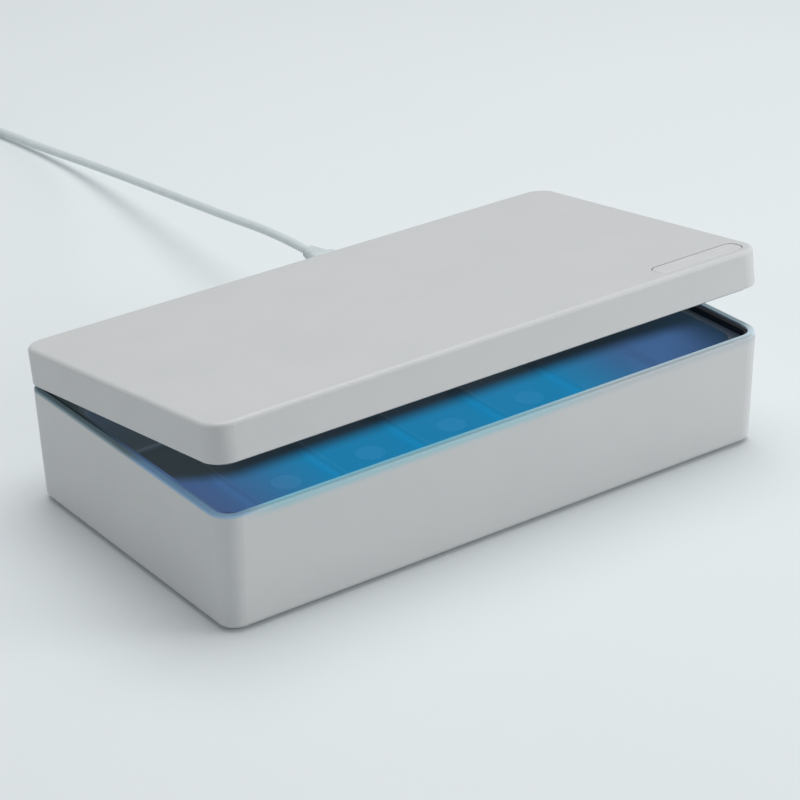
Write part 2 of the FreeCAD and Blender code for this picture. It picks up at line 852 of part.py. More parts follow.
def control_top():
    """Height of the button board's upper face."""
    return panel_top + control_post + control_board_thick


def control_board():
    """Small board under the button bar, on the panel's two posts."""
    z = panel_top + control_post
    half_x = control_board_length / 2
    front = button_y - control_board_front
    rear = button_y + control_board_rear
    board = block(button_x - half_x, button_x + half_x, front, rear, z, control_top())
    holes = []
    for side in (-1, 1):
        x = button_x + side * control_screw_x
        holes.append(rod(x, button_y, z, small_screw_radius + slide_gap, control_board_thick))
    return ajar(board.cut(holes))


def control_screws():
    """Two screws that hold the button board."""
    z = control_top()
    screws = []
    for side in (-1, 1):
        x = button_x + side * control_screw_x
        reach = control_board_thick + small_bite
        head = rod(x, button_y, z, small_head_radius, small_head)
        screws.append(head.fuse(rod(x, button_y, z - reach, small_screw_radius, reach)))
    return ajar(Part.makeCompound(screws))


def tact_switch():
    """Square switch body with a well for its plunger."""
    z = control_top()
    half = switch_size / 2
    body = block(button_x - half, button_x + half, button_y - half, button_y + half, z, z + switch_height)
    well = rod(button_x, button_y, z + switch_floor, plunger_radius + slide_gap, switch_height)
    return ajar(body.cut(well))


def board_chip(x, y):
    """Small chip on the button board."""
    half = sensor_size / 2
    z = control_top()
    return ajar(block(x - half, x + half, y - half, y + half, z, z + sensor_height))


def status_led():
    """Indicator lamp under the bar's right half."""
    return board_chip(button_x + status_led_x, button_y)


def hall_sensor():
    """Sensor above the base's magnet, which stops the light when the lid lifts."""
    return board_chip(button_x + hall_x, button_y)


def button_low():
    """Height of the underside of the button's flange."""
    return lid_roof - fit_gap - button_flange_thick


def power_button():
    """Slim bar, flush with the lid, with a flange that keeps it in its slot."""
    z = button_low()
    flange = raised(centred(button_length + 2 * button_flange, button_width + 2 * button_flange,
                            button_radius + button_flange, z, button_x, button_y), button_flange_thick)
    top = lid_z + lid_height
    bar = raised(centred(button_length, button_width, button_radius, z, button_x, button_y), top - z)
    bar = bar.makeFillet(button_edge, edges_at(bar, top))
    return ajar(bar.fuse(flange).removeSplitter())


def switch_plunger():
    """The switch's plunger, from inside its well up to the button."""
    low = control_top() + switch_height - plunger_reach
    return ajar(rod(button_x, button_y, low, plunger_radius, button_low() - low))


def hinge_bushes():
    """Friction sleeves in the lid's knuckles."""
    bushes = []
    lid_ranges = hinge_ranges()[1]
    for x0, x1 in (lid_ranges[0], (lid_ranges[1][0], tube_ends()[1])):
        bush = rod(x0, hinge_y, hinge_z, bush_radius, x1 - x0, along_x)
        bushes.append(bush.cut(rod(x0, hinge_y, hinge_z, pin_radius + pin_fit, x1 - x0, along_x)))
    return ajar(Part.makeCompound(bushes))


def strip_plug(x):
    """Wire socket on top of the upper strip."""
    z = panel_top + led_standoff + board_thick
    half_x = lid_plug_width / 2
    half_y = lid_plug_depth / 2
    return block(x - half_x, x + half_x, led_y - half_y, led_y + half_y, z, z + lid_plug_height)


def control_plug():
    """Wire socket at the rear edge of the button board."""
    x = button_x + hall_x / 2
    y = button_y + control_board_rear
    half = lid_plug_width / 2
    z = control_top()
    return block(x - half, x + half, y - lid_plug_depth / 2, y, z, z + control_plug_height)


def lid_connectors():
    """The lid's three wire sockets."""
    return ajar(Part.makeCompound([strip_plug(led_x[0] / 2), strip_plug(led_x[-1]), control_plug()]))


def lid_harness():
    """Wire from the hollow pin, up the slanting hole and across the lid to the upper strip."""
    z = panel_top + led_standoff + board_thick + lid_plug_height / 2
    x = led_x[0] / 2
    outer = wire_turn(lid_wire_x, 1, wire_reach)
    return ajar(wire_tube([
        V(wire_join + fit_gap / 2, hinge_y, hinge_z),
        V(lid_wire_x, hinge_y, hinge_z),
        outer,
        V(x, (outer.y + led_y) / 2, z),
        V(x, led_y + lid_plug_depth / 2, z)]))


def control_lead():
    """Wire from the upper strip to the button board."""
    strip_z = panel_top + led_standoff + board_thick + lid_plug_height / 2
    board_z = control_top() + control_plug_height / 2
    x = button_x + hall_x / 2
    y = button_y + control_board_rear
    start = V(led_x[-1], led_y - lid_plug_depth / 2, strip_z)
    bend = V(led_x[-1], led_y - led_board_width, strip_z)
    return ajar(wire_tube([start, bend, V(x, y + 2 * control_board_rear, board_z), V(x, y, board_z)]))


def grip_start():
    """Y of the plug grip's front face, just off the floor of the inlet's recess."""
    return width / 2 - inlet_recess + fit_gap


def plug_overmould():
    """Moulded grip with rounded edges and a tapered strain relief."""
    grip = raised(centred(grip_width, grip_height, grip_round, 0), grip_length)
    grip = grip.makeFillet(grip_round / 3, edges_at(grip, 0) + edges_at(grip, grip_length))
    r = grip_round - relief_neck / 2
    wide = centred(grip_width - 2 * relief_neck, grip_height - 2 * relief_neck, r, grip_length)
    slim = centred(relief_width, relief_height, r, grip_length + relief_length)
    relief = Part.makeLoft([wide, slim], True, True)
    return facing_rear(grip.fuse(relief), plug_x, grip_start(), plug_z)


def plug_shell():
    """Metal tip of the plug, seated in the inlet."""
    tip = sleeve(tip_width, tip_height, tip_height / 2 - slide_gap, tip_skin, tip_length)
    return facing_rear(tip, plug_x, grip_start() - tip_length, plug_z)


def cable_points():
    """Route of the free stretch: straight out of the relief, then down to the floor behind the box."""
    start = V(plug_x, grip_start() + grip_length + relief_length, plug_z)
    return [start] + [start + V(*step) for step in cable_steps]


def cable():
    """Free stretch of the lead."""
    points = cable_points()
    path, radii = runs(points)
    lead = tube(path, points[0], points[1] - points[0], cable_radius)
    section = math.pi * cable_radius ** 2
    print("cable length %.1f, volume over section %.1f" % (path.Length, lead.Volume / section))
    print("cable bend radii", [round(radius) for radius in radii])
    return lead


def coil_place():
    """Centre of the coil, the angle where the lead joins it and the height of its lower layer."""
    points = cable_points()
    heading = points[-1] - points[-2]
    start_angle = math.atan2(-heading.x, heading.y)
    centre = points[-1] - V(math.cos(start_angle), math.sin(start_angle), 0) * coil_outer
    return centre, start_angle


def coil_point(turns):
    """Point and direction on the coil after some turns: in along the lower layer, up a layer, and out again."""
    centre, start_angle = coil_place()
    inner_turn = coil_turns_in + coil_turns_climb / 2
    angle = start_angle + 2 * math.pi * turns
    r = coil_outer - coil_pitch * (inner_turn - abs(turns - inner_turn))
    climb = min(max((turns - coil_turns_in) / coil_turns_climb, 0), 1)
    lift = coil_pitch * climb * climb * (3 - 2 * climb)
    point = centre + V(r * math.cos(angle), r * math.sin(angle), lift)
    return point, V(-math.sin(angle), math.cos(angle), 0)


def biarc(start, start_way, end, end_way):
    """Two arcs that leave one point along its direction and reach another along its own."""
    chord = end - start
    both = start_way + end_way
    spread = 2 * (1 - start_way.dot(end_way))
    slant = chord.dot(both)
    if spread > 1e-6:
        reach = (-slant + math.sqrt(slant ** 2 + spread * chord.dot(chord))) / spread
    else:
        reach = chord.dot(chord) / (2 * slant)
    leave = start + start_way * reach
    arrive = end - end_way * reach
    joint = (leave + arrive) * 0.5
    arcs = []
    for a, apex, b in ((start, leave, joint), (joint, arrive, end)):
        weight = (b - a).Length / (2 * (apex - a).Length)
        middle = (a + b + apex * (2 * weight)) * (0.5 / (1 + weight))
        arcs.append(Part.Arc(a, middle, b).toShape())
    return arcs


def coil_wire():
    """Middle line of the coil, in quarter turns, with a straight diameter at its outer end."""
    quarters = round(4 * (coil_turns_in + coil_turns_climb + coil_turns_out))
    places = [coil_point(0.25 * i) for i in range(quarters + 1)]
    edges = []
    for (a, way_a), (b, way_b) in zip(places, places[1:]):
        edges += biarc(a, way_a, b, way_b)
    first, first_way = places[0]
    last, last_way = places[-1]
    straight = 2 * cable_radius
    edges.append(Part.LineSegment(last, last + last_way * straight).toShape())
    return Part.Wire(edges), first, first_way, last + last_way * straight, last_way


def least_gap(path):
    """Smallest gap between parts of a tube that lie over four diameters apart along it."""
    points = path.discretize(Distance=cable_radius)
    skip = 8
    least = min(a.distanceToPoint(b) for i, a in enumerate(points) for b in points[i + skip:])
    return least - 2 * cable_radius


def cable_coil():
    """Put-away length of the lead, wound in two layers."""
    path, first, first_way, last, last_way = coil_wire()
    print("coil length %.1f, least gap to itself %.2f" % (path.Length, least_gap(path)))
    return tube(path, first, first_way, cable_radius)


def cable_tie():
    """Band round the coil's turns, lying on the floor under them."""
    centre, start_angle = coil_place()
    inner_turn = coil_turns_in + coil_turns_climb / 2
    r0 = coil_outer - coil_pitch * inner_turn - cable_radius - tie_gap
    r1 = coil_outer + cable_radius + tie_gap
    z0 = centre.z - cable_radius - tie_gap
    z1 = centre.z + coil_pitch + cable_radius + tie_gap
    half = tie_width / 2
    outside = block(r0 - tie_thick, r1 + tie_thick, -half, half, z0 - tie_thick, z1 + tie_thick)
    band = outside.cut(block(r0, r1, -half, half, z0, z1))
    band.rotate(V(0, 0, 0), along_z, tie_angle)
    band.translate(V(centre.x, centre.y, 0))
    return band


def tail_points():
    """Route of the last stretch, from the coil's upper layer down to the far plug."""
    last, way = coil_wire()[3:]
    return [last] + [last + way * reach + V(0, 0, drop) for reach, drop in tail_steps]


def cable_tail():
    """Last stretch of the lead, between the coil and the far plug."""
    points = tail_points()
    path, radii = runs(points)
    print("tail length %.1f, bend radii" % path.Length, [round(radius) for radius in radii])
    return tube(path, points[0], points[1] - points[0], cable_radius)


def along_tail(shape):
    """Puts a far-plug piece, drawn upwards with its width along X, at the end of the tail."""
    points = tail_points()
    way = points[-1] - points[-2]
    shape.rotate(V(0, 0, 0), along_x, -90)
    shape.rotate(V(0, 0, 0), along_z, math.degrees(math.atan2(-way.x, way.y)))
    shape.translate(points[-1])
    return shape


def usb_a_overmould():
    """Moulded grip of the far plug, with its strain relief."""
    neck = usb_grip_round
    slim = centred(relief_width, relief_height, usb_grip_round / 2, 0)
    wide = centred(usb_grip_width - 2 * neck, usb_grip_height - neck, usb_grip_round / 2, usb_relief_length)
    relief = Part.makeLoft([slim, wide], True, True)
    end = usb_relief_length + usb_grip_length
    grip = raised(centred(usb_grip_width, usb_grip_height, usb_grip_round, usb_relief_length), usb_grip_length)
    grip = grip.makeFillet(usb_grip_round / 3, edges_at(grip, usb_relief_length) + edges_at(grip, end))
    return along_tail(relief.fuse(grip))


def usb_a_shell():
    """Metal shell of the far plug."""
    shell = sleeve(usb_shell_width, usb_shell_height, 2 * usb_shell_skin, usb_shell_skin, usb_shell_length)
    shell.translate(V(0, 0, usb_relief_length + usb_grip_length))
    return along_tail(shell)


def usb_a_tongue():
    """Contact tongue inside the far plug's shell."""
    z = usb_relief_length + usb_grip_length
    low = -usb_shell_height / 2 + usb_shell_skin + screw_fit
    half = usb_tongue_width / 2
    tongue = block(-half, half, low, low + usb_tongue_thick, z, z + usb_shell_length - usb_tongue_set_back)
    return along_tail(tongue)


pieces = (
    base_shell, chamber_liner, base_feet, base_screws, main_board, board_screws, usb_socket, usb_socket_tongue,
    board_chips, board_inductor, board_capacitors, board_connectors, base_led_board, base_leds,
    base_led_windows, base_led_screws, base_led_lead, hinge_pin, hinge_tube, base_harness, sensor_magnet,
    rim_seal, lid_shell, lid_inner_panel, lid_screws, lid_led_board, lid_leds, lid_led_windows,
    lid_led_screws, control_board, control_screws, tact_switch, status_led, hall_sensor, lid_connectors,
    hinge_bushes, lid_harness, control_lead, power_button, switch_plunger, plug_overmould, plug_shell,
    cable, cable_coil, cable_tie, cable_tail, usb_a_overmould, usb_a_shell, usb_a_tongue)

# The frame's origin is the middle of the footprint, hinge barrels included
recentre = V(0, -(hinge_set_back + barrel_radius) / 2, 0)

os.makedirs("parts", exist_ok=True)
for piece in pieces:
    shape = piece()
    shape.translate(recentre)
    shape.exportStep("parts/%s.step" % piece.__name__)
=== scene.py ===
import json
import math

import bmesh
import bpy
import numpy as np
from mathutils import Matrix, Vector


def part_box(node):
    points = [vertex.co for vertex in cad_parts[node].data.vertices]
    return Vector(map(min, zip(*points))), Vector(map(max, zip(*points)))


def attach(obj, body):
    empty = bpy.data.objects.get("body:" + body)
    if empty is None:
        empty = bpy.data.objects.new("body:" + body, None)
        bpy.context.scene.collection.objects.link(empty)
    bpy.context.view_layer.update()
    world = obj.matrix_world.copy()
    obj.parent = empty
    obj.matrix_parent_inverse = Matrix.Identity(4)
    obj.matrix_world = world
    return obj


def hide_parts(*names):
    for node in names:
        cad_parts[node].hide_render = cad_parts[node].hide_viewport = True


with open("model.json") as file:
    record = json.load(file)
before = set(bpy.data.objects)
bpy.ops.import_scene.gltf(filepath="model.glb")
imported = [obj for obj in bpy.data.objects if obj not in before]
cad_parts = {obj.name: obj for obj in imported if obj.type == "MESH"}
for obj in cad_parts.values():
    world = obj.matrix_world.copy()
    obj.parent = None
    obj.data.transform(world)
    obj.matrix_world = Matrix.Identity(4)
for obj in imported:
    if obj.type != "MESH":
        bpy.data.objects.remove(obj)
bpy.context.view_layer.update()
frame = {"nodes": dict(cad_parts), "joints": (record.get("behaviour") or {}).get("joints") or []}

# Base shell: a drafted tray moulded in pale ABS, with a spark-eroded satin outside.
# The liner drops in from above, and the knuckles of both hinges grow from its rear wall.
# Its rim has painted light on it: a glow, cyan along the front, paler to the right and violet at the left,
# and painted light and shade tinting its top and the front face's upper edge.
nodes = frame["nodes"]
millimetre = 0.001


class Wire:
    """A value on its way through a finish; arithmetic on it adds Math nodes."""

    def __init__(self, finish, socket):
        self.finish = finish
        self.socket = socket

    def math(self, operation, first, second=0.0):
        return self.finish.node("ShaderNodeMath", {"operation": operation}, {0: first, 1: second})

    def __add__(self, other):
        return self.math("ADD", self, other)

    def __mul__(self, other):
        return self.math("MULTIPLY", self, other)

    def __sub__(self, other):
        return self.math("SUBTRACT", self, other)

    def __rsub__(self, other):
        return self.math("SUBTRACT", other, self)

    def __abs__(self):
        return self.math("ABSOLUTE", self)

    __radd__ = __add__
    __rmul__ = __mul__

    def ease(self, low, high):
        """0 below low and 1 above high, with a smooth step between; low may be the larger."""
        return self.finish.node("ShaderNodeMapRange", {"interpolation_type": "SMOOTHSTEP"},
                                {0: self, 1: low, 2: high, 3: 0.0, 4: 1.0})


class Finish:
    """A Principled material and the nodes that vary it over a piece."""

    def __init__(self, name, colour, roughness, **fixed):
        self.material = bpy.data.materials.new(name)
        self.material.use_nodes = True
        self.tree = self.material.node_tree
        self.shader = self.tree.nodes["Principled BSDF"]
        self.shader.inputs["Base Color"].default_value = (*colour, 1.0)
        self.shader.inputs["Roughness"].default_value = roughness
        for socket, value in fixed.items():
            self.shader.inputs[socket.replace("_", " ")].default_value = value
        self.place = self.node("ShaderNodeTexCoord", output="Object")
        split = self.tree.nodes.new("ShaderNodeSeparateXYZ")
        self.tree.links.new(self.place.socket, split.inputs[0])
        self.x, self.y, self.z = (Wire(self, socket) for socket in split.outputs)

    def node(self, kind, settings=None, inputs=None, output=0):
        """Adds a node: its settings first, then the value or link of each socket; gives one output."""
        node = self.tree.nodes.new(kind)
        for key, value in (settings or {}).items():
            setattr(node, key, value)
        for key, value in (inputs or {}).items():
            if isinstance(value, Wire):
                self.tree.links.new(value.socket, node.inputs[key])
            else:
                node.inputs[key].default_value = value
        return Wire(self, node.outputs[output])

    def noise(self, scale, detail=2.0, roughness=0.5):
        """Cloudy value about 0.5 that varies over 1/scale metres."""
        return self.node("ShaderNodeTexNoise", {},
                         {"Vector": self.place, "Scale": scale, "Detail": detail, "Roughness": roughness})

    def mix(self, factor, first, second):
        """First colour where the factor is 0 and second where it is 1."""
        return self.node("ShaderNodeMix", {"data_type": "RGBA"}, {0: factor, 6: first, 7: second}, output=2)

    def drive(self, socket, wire):
        """Links a value that changes over the surface to one of the shader's sockets."""
        self.tree.links.new(wire.socket, self.shader.inputs[socket])

    def tint(self, factor, first, second):
        """Varies the colour between two shades."""
        self.drive("Base Color", self.mix(factor, (*first, 1), (*second, 1)))

    def gloss(self, low, span, factor):
        """Varies the roughness upwards from its lowest value."""
        self.drive("Roughness", low + factor * span)

    def glow(self, colour, strength=1.0):
        """Lights the surface by itself, in a colour that changes over it."""
        self.shader.inputs["Emission Strength"].default_value = strength
        self.drive("Emission Color", colour)

    def relief(self, height, depth):
        """Bump of a given depth in metres from a height between 0 and 1."""
        bump = self.node("ShaderNodeBump", {}, {"Strength": 1.0, "Distance": depth, "Height": height})
        self.drive("Normal", bump)

    def dress(self, *pieces):
        """Gives this finish to CAD nodes, named, or to new pieces."""
        for piece in pieces:
            thing = nodes[piece] if isinstance(piece, str) else piece
            if not thing.material_slots:
                thing.data.materials.append(self.material)
            for slot in thing.material_slots:
                slot.material = self.material


shell_grey = (0.585, 0.590, 0.590)
shell_shade = (0.545, 0.553, 0.556)


def satin_shell(name):
    """Fine spark-eroded grain, faint clouds in the colour, and gloss that varies as handled plastic's does."""
    finish = Finish(name, shell_grey, 0.46, IOR=1.49)
    clouds = finish.noise(38.0, 3.0)
    grain = finish.noise(2400.0, 2.0, 0.6)
    handling = finish.noise(90.0, 4.0, 0.6)
    finish.shell_colour = finish.mix(clouds.ease(0.25, 0.85) * 0.5, (*shell_grey, 1), (*shell_shade, 1))
    finish.drive("Base Color", finish.shell_colour)
    finish.drive("Roughness", 0.40 + handling * 0.10 + grain * 0.05)
    finish.relief(grain, 0.05 * millimetre)
    return finish


base_height = 40.8 * millimetre
base_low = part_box("base_shell")[0]
front_y = base_low.y
rear_y = 57.2 * millimetre
rim_z = base_low.z + base_height
# Painted light: glow colours for the rim's inner edge, its right end, its outer edge and its left run.
painted_rim_inner_light = (0.04, 0.19, 0.26, 1)
painted_rim_pale_light = (0.18, 0.26, 0.30, 1)
painted_rim_outer_light = (0.004, 0.014, 0.012, 1)
painted_rim_violet_light = (0.010, 0.050, 0.130, 1)
unlit = (0, 0, 0, 1)
# Painted light and shade in the base colour: slate-blue on the rim's top in the lid's shade, blue light under
# the front rim, and darker grey there at the right for shade.
painted_rim_slate = (0.30, 0.41, 0.46, 1)
painted_bleed_blue = (0.36, 0.56, 0.62, 1)
painted_rim_shade_grey = (0.49, 0.53, 0.555, 1)
base_finish = satin_shell("base_satin")
x, y, z = base_finish.x, base_finish.y, base_finish.z
past_corner = 1 - x.ease(-0.088, -0.104)
rim_top = z.ease(rim_z - 0.0009, rim_z - 0.0002) * y.ease(rear_y + 0.0008, rear_y)
rim_front = y.ease(front_y + 0.011, front_y + 0.003) * past_corner
rim_left = rim_top * x.ease(-0.084, -0.104) * y.ease(-0.004, -0.018)
rim_inward = (y - front_y).ease(0.0003, 0.0019)
# Base colour: the shell's own clouds, with the painted slate, blue and grey tints over the rim and the front
# face's top edge.
rim_painted_tint = base_finish.mix(rim_top * (1 - rim_front), base_finish.shell_colour, painted_rim_slate)
bleed = y.ease(front_y + 0.010, front_y + 0.002) * z.ease(rim_z - 0.0036, rim_z - 0.0006)
painted_bleed_tint = base_finish.mix(x.ease(0.005, 0.050), painted_bleed_blue, painted_rim_shade_grey)
base_finish.drive("Base Color", base_finish.mix(bleed * past_corner, rim_painted_tint, painted_bleed_tint))
# Emission: the painted glow, brightest at the front rim's inner edge, violet on the left run.
inner_light = base_finish.mix(x.ease(-0.030, 0.050), painted_rim_inner_light, painted_rim_pale_light)
front_light = base_finish.mix(rim_inward, painted_rim_outer_light, inner_light)
left_light = base_finish.mix(rim_left, unlit, painted_rim_violet_light)
base_finish.glow(base_finish.mix(rim_top * rim_front, left_light, front_light))
base_finish.dress("base_shell")

# Feet: round pads punched from grey rubber sheet.
# Each is glued into a shallow seat in the shell's floor and stands a little proud of it.
feet_finish = Finish("foot_rubber", (0.075, 0.078, 0.082), 0.82)
feet_grain = feet_finish.noise(1500.0, 4.0, 0.7)
feet_finish.tint(feet_grain, (0.055, 0.058, 0.062), (0.105, 0.108, 0.112))
feet_finish.relief(feet_grain, 0.06 * millimetre)
feet_finish.dress("base_feet")

# Chamber liner: a thin moulded tub with a smoked mirror film, dropped in on the shell's ribs; its dark tone is
# partly painted shade.
# The lamps' light is painted on it as glow: blue along their row, turning violet towards both ends.
# Behind the row a painted shadow of the lid darkens it, and a little painted light lies on the left ledge.
lamp_low, lamp_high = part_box("base_leds")
lamp_y = (lamp_low.y + lamp_high.y) / 2
chamber_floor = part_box("base_led_windows")[1].z
glow_middle = 0.015
left_reach = 0.014
lid_shade_slope = 1.75
# Emission colours of the painted light: blue and violet glow, and dim painted shade in the middle and at the
# left.
painted_glow_blue = (0.008, 0.185, 0.375, 1)
painted_glow_violet = (0.052, 0.092, 0.212, 1)
shade_middle = (0.010, 0.017, 0.022, 1)
shade_left = (0.022, 0.031, 0.034, 1)


def smoked_film(name):
    """Mirror film over moulded plastic: hazy patches in its gloss and a faint ripple."""
    finish = Finish(name, (0.13, 0.14, 0.16), 0.3, Metallic=0.7)
    haze = finish.noise(45.0, 3.0, 0.5)
    finish.gloss(0.26, 0.16, haze)
    finish.tint(haze, (0.11, 0.12, 0.14), (0.15, 0.16, 0.18))
    finish.relief(haze, 0.1 * millimetre)
    return finish


def painted_chamber_light(finish):
    """Painted light and shade on a piece of the chamber: blue at the lamp row's middle, violet in front of it
    and at its ends.

    Behind the row it dies at a plane that leans forward with height, a painted shadow of the lid; at the left
    end it reaches further back. Towards the rim it fades with height.
    """
    reach = finish.x.ease(-0.058, -0.092) * left_reach
    shade_depth = finish.y - reach + (finish.z - chamber_floor) * lid_shade_slope
    rear_fade = shade_depth.ease(lamp_y + 0.0195, lamp_y + 0.0085)
    front_fade = finish.y.ease(lamp_y - 0.042, lamp_y - 0.008)
    height_fade = (finish.z + finish.x * 0.03).ease(0.0445, 0.0295)
    middle = abs(finish.x - glow_middle).ease(0.100, 0.045)
    colour = finish.mix(middle * front_fade, painted_glow_violet, painted_glow_blue)
    shade = finish.mix(finish.x.ease(-0.052, -0.070), shade_middle, shade_left)
    return finish.mix(rear_fade * height_fade * (0.6 + 0.4 * front_fade), shade, colour)


liner_finish = smoked_film("liner_film")
# Painted violet light on the left ledge, over the painted chamber light.
left_ledge = liner_finish.z.ease(0.0374, 0.0382) * liner_finish.x.ease(-0.1022, -0.1032)
ledge_light = liner_finish.y.ease(0.024, -0.030) * left_ledge
liner_finish.glow(liner_finish.mix(ledge_light, painted_chamber_light(liner_finish), painted_glow_violet))
liner_finish.dress("chamber_liner")

# Rim seal: a dark silicone strip, extruded and glued into the corner between the rim and the liner's ledge.
# The shut lid's skirt comes down on its top, which keeps the light in; its left run has a little painted glow.
seal_finish = Finish("dark_silicone", (0.040, 0.042, 0.047), 0.58, Specular_IOR_Level=0.25)
seal_dust = seal_finish.noise(900.0, 5.0, 0.7)
seal_finish.tint(seal_dust.ease(0.45, 0.8), (0.032, 0.033, 0.038), (0.052, 0.054, 0.060))
seal_finish.gloss(0.50, 0.2, seal_dust)
seal_painted_glow = seal_finish.x.ease(-0.085, -0.102) * seal_finish.y.ease(0.030, -0.022)
seal_finish.glow(seal_finish.mix(seal_painted_glow, unlit, (0.060, 0.120, 0.200, 1)))
seal_finish.dress("rim_seal")

# Light bars: white strips on a metal core, each with a row of square lamps.
# One hangs below the tub's floor and one lies on the lid's panel; quartz discs cover the lamps.
strip_finish = Finish("strip_mask", (0.74, 0.75, 0.75), 0.38, Metallic=0.1)
strip_haze = strip_finish.noise(300.0, 3.0)
strip_finish.gloss(0.30, 0.2, strip_haze)
strip_finish.tint(strip_haze, (0.70, 0.71, 0.71), (0.80, 0.80, 0.79))
strip_finish.dress("base_led_board", "lid_led_board")

lamp_finish = Finish("lamp_package", (0.72, 0.66, 0.40), 0.30)
lamp_spots = lamp_finish.noise(1800.0, 1.0)
lamp_finish.tint(lamp_spots, (0.70, 0.62, 0.34), (0.80, 0.76, 0.52))
lamp_finish.glow(lamp_finish.mix(lamp_spots, (0.10, 0.22, 0.75, 1), (0.22, 0.38, 0.95, 1)), strength=2.0)
lamp_finish.dress("base_leds", "lid_leds")


def frosted_quartz(name):
    """Quartz with a fine haze in its gloss."""
    finish = Finish(name, (0.16, 0.20, 0.24), 0.35, IOR=1.46)
    finish.haze = finish.noise(700.0, 2.0)
    finish.gloss(0.28, 0.15, finish.haze)
    return finish


quartz_finish = frosted_quartz("frosted_quartz")
# The windows carry the same painted glow and shade as the chamber round them.
quartz_finish.glow(painted_chamber_light(quartz_finish))
quartz_finish.dress("base_led_windows")

lid_quartz = frosted_quartz("lid_quartz")
# Painted blue glow on the lid's windows, standing in for the lamps' light through the quartz.
lid_quartz.glow(lid_quartz.mix(lid_quartz.haze, (0.008, 0.120, 0.250, 1), (0.012, 0.150, 0.300, 1)))
lid_quartz.dress("lid_led_windows")

# Screws: zinc-plated pan heads with a cross recess, turned into plain bosses.
# Four hold the shell to the liner from below and six hold the lid's panel.
# Smaller ones, shut in, hold the boards and the light bars.
zinc_finish = Finish("zinc_plate", (0.50, 0.50, 0.52), 0.34, Metallic=1.0)
zinc_clouds = zinc_finish.noise(900.0, 3.0)
zinc_finish.gloss(0.26, 0.2, zinc_clouds)
zinc_finish.tint(zinc_clouds, (0.44, 0.44, 0.47), (0.58, 0.57, 0.56))
zinc_finish.dress("board_screws", "base_led_screws", "lid_led_screws", "control_screws")


def made_mesh(name, grids, wrap=(False, False)):
    """One object from grids of points, each an array of rows by columns by 3; doubled points are merged."""
    corners = []
    quads = []
    count = 0
    for grid in grids:
        rows, columns = grid.shape[:2]
        index = np.arange(rows * columns).reshape(rows, columns) + count
        if wrap[0]:
            index = np.vstack([index, index[:1]])
        if wrap[1]:
            index = np.hstack([index, index[:, :1]])
        cells = [index[:-1, :-1], index[1:, :-1], index[1:, 1:], index[:-1, 1:]]
        quads.append(np.stack(cells, -1).reshape(-1, 4))
        corners.append(grid.reshape(-1, 3))
        count += rows * columns
    mesh = bpy.data.meshes.new(name)
    mesh.from_pydata(np.concatenate(corners).tolist(), [], np.concatenate(quads).tolist())
    work = bmesh.new()
    work.from_mesh(mesh)
    bmesh.ops.remove_doubles(work, verts=work.verts, dist=1e-7)
    bmesh.ops.dissolve_degenerate(work, edges=work.edges, dist=1e-8)
    bmesh.ops.recalc_face_normals(work, faces=work.faces)
    work.to_mesh(mesh)
    work.free()
    mesh.shade_smooth()
    piece = bpy.data.objects.new(name, mesh)
    bpy.context.scene.collection.objects.link(piece)
    return piece


thread_pitch = 0.6 * millimetre


def cross_screw(centre, head_radius, head_height, shank_radius, length):
    """Profile turned about Z: a crowned head whose face sinks along two crossed arms, then a ridged shank.

    The face lies at the centre's height and the shank runs up from it. The sink is deepest in the middle and
    zero outside arms a fifth of the head wide; the shank's radius is a saw wave of turn plus height.
    """
    turn = np.linspace(0, 2 * math.pi, 64, endpoint=False)[:, None]
    face = np.linspace(0, 0.86, 15)[None, :] * head_radius
    arm = np.minimum(abs(np.cos(turn)), abs(np.sin(turn))) * face / (0.13 * head_radius)
    tip = np.maximum(abs(np.cos(turn)), abs(np.sin(turn))) * face / (0.62 * head_radius)
    sink = 0.45 * head_height * np.clip(1.6 - arm ** 2, 0, 1) * np.clip(1.15 - tip ** 3, 0, 1)
    face_z = sink + 0.10 * head_height * (face / head_radius) ** 2
    side_r = np.array([0.95, 1.0, 1.0, 0.98, shank_radius / head_radius])[None, :] * head_radius
    side_z = np.array([0.14, 0.26, 0.94, 1.0, 1.0])[None, :] * head_height
    rise = np.linspace(0, 1, 40)[None, :]
    thread = (rise * length / thread_pitch + turn / (2 * math.pi)) % 1.0
    shank_r = shank_radius * (0.99 - 0.16 * abs(2 * thread - 1)) * np.clip((1.0 - rise) * 9, 0, 1) ** 0.5
    r = np.hstack([face + 0 * turn, side_r + 0 * turn, shank_r])
    z = np.hstack([face_z, side_z + 0 * turn, head_height + rise * length + 0 * turn])
    return np.stack([r * np.cos(turn), r * np.sin(turn), z], -1) + np.array(centre)


screws_low, screws_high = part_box("base_screws")
floor_head = 2.6 * millimetre
floor_head_height = 1.8 * millimetre
floor_shank = 1.3 * millimetre
floor_length = screws_high.z - screws_low.z - floor_head_height
floor_places = [(x, y, screws_low.z)
                for x in (screws_low.x + floor_head, screws_high.x - floor_head)
                for y in (screws_low.y + floor_head, screws_high.y - floor_head)]
floor_screws = made_mesh("floor_screws", [
    cross_screw(place, floor_head, floor_head_height, floor_shank, floor_length)
    for place in floor_places], wrap=(True, False))
zinc_finish.dress(floor_screws)
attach(floor_screws, "base")
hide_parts("base_screws")

lid_tilt = math.radians(8.0)
hinge_y, hinge_z = frame["joints"][0]["pos_m"][1:]


def opened(points):
    """Turns points of the shut lid about the hinge to the ajar rest pose."""
    turn = np.array(Matrix.Rotation(-lid_tilt, 3, "X"))
    pivot = np.array([0.0, hinge_y, hinge_z])
    return (points - pivot) @ turn.T + pivot


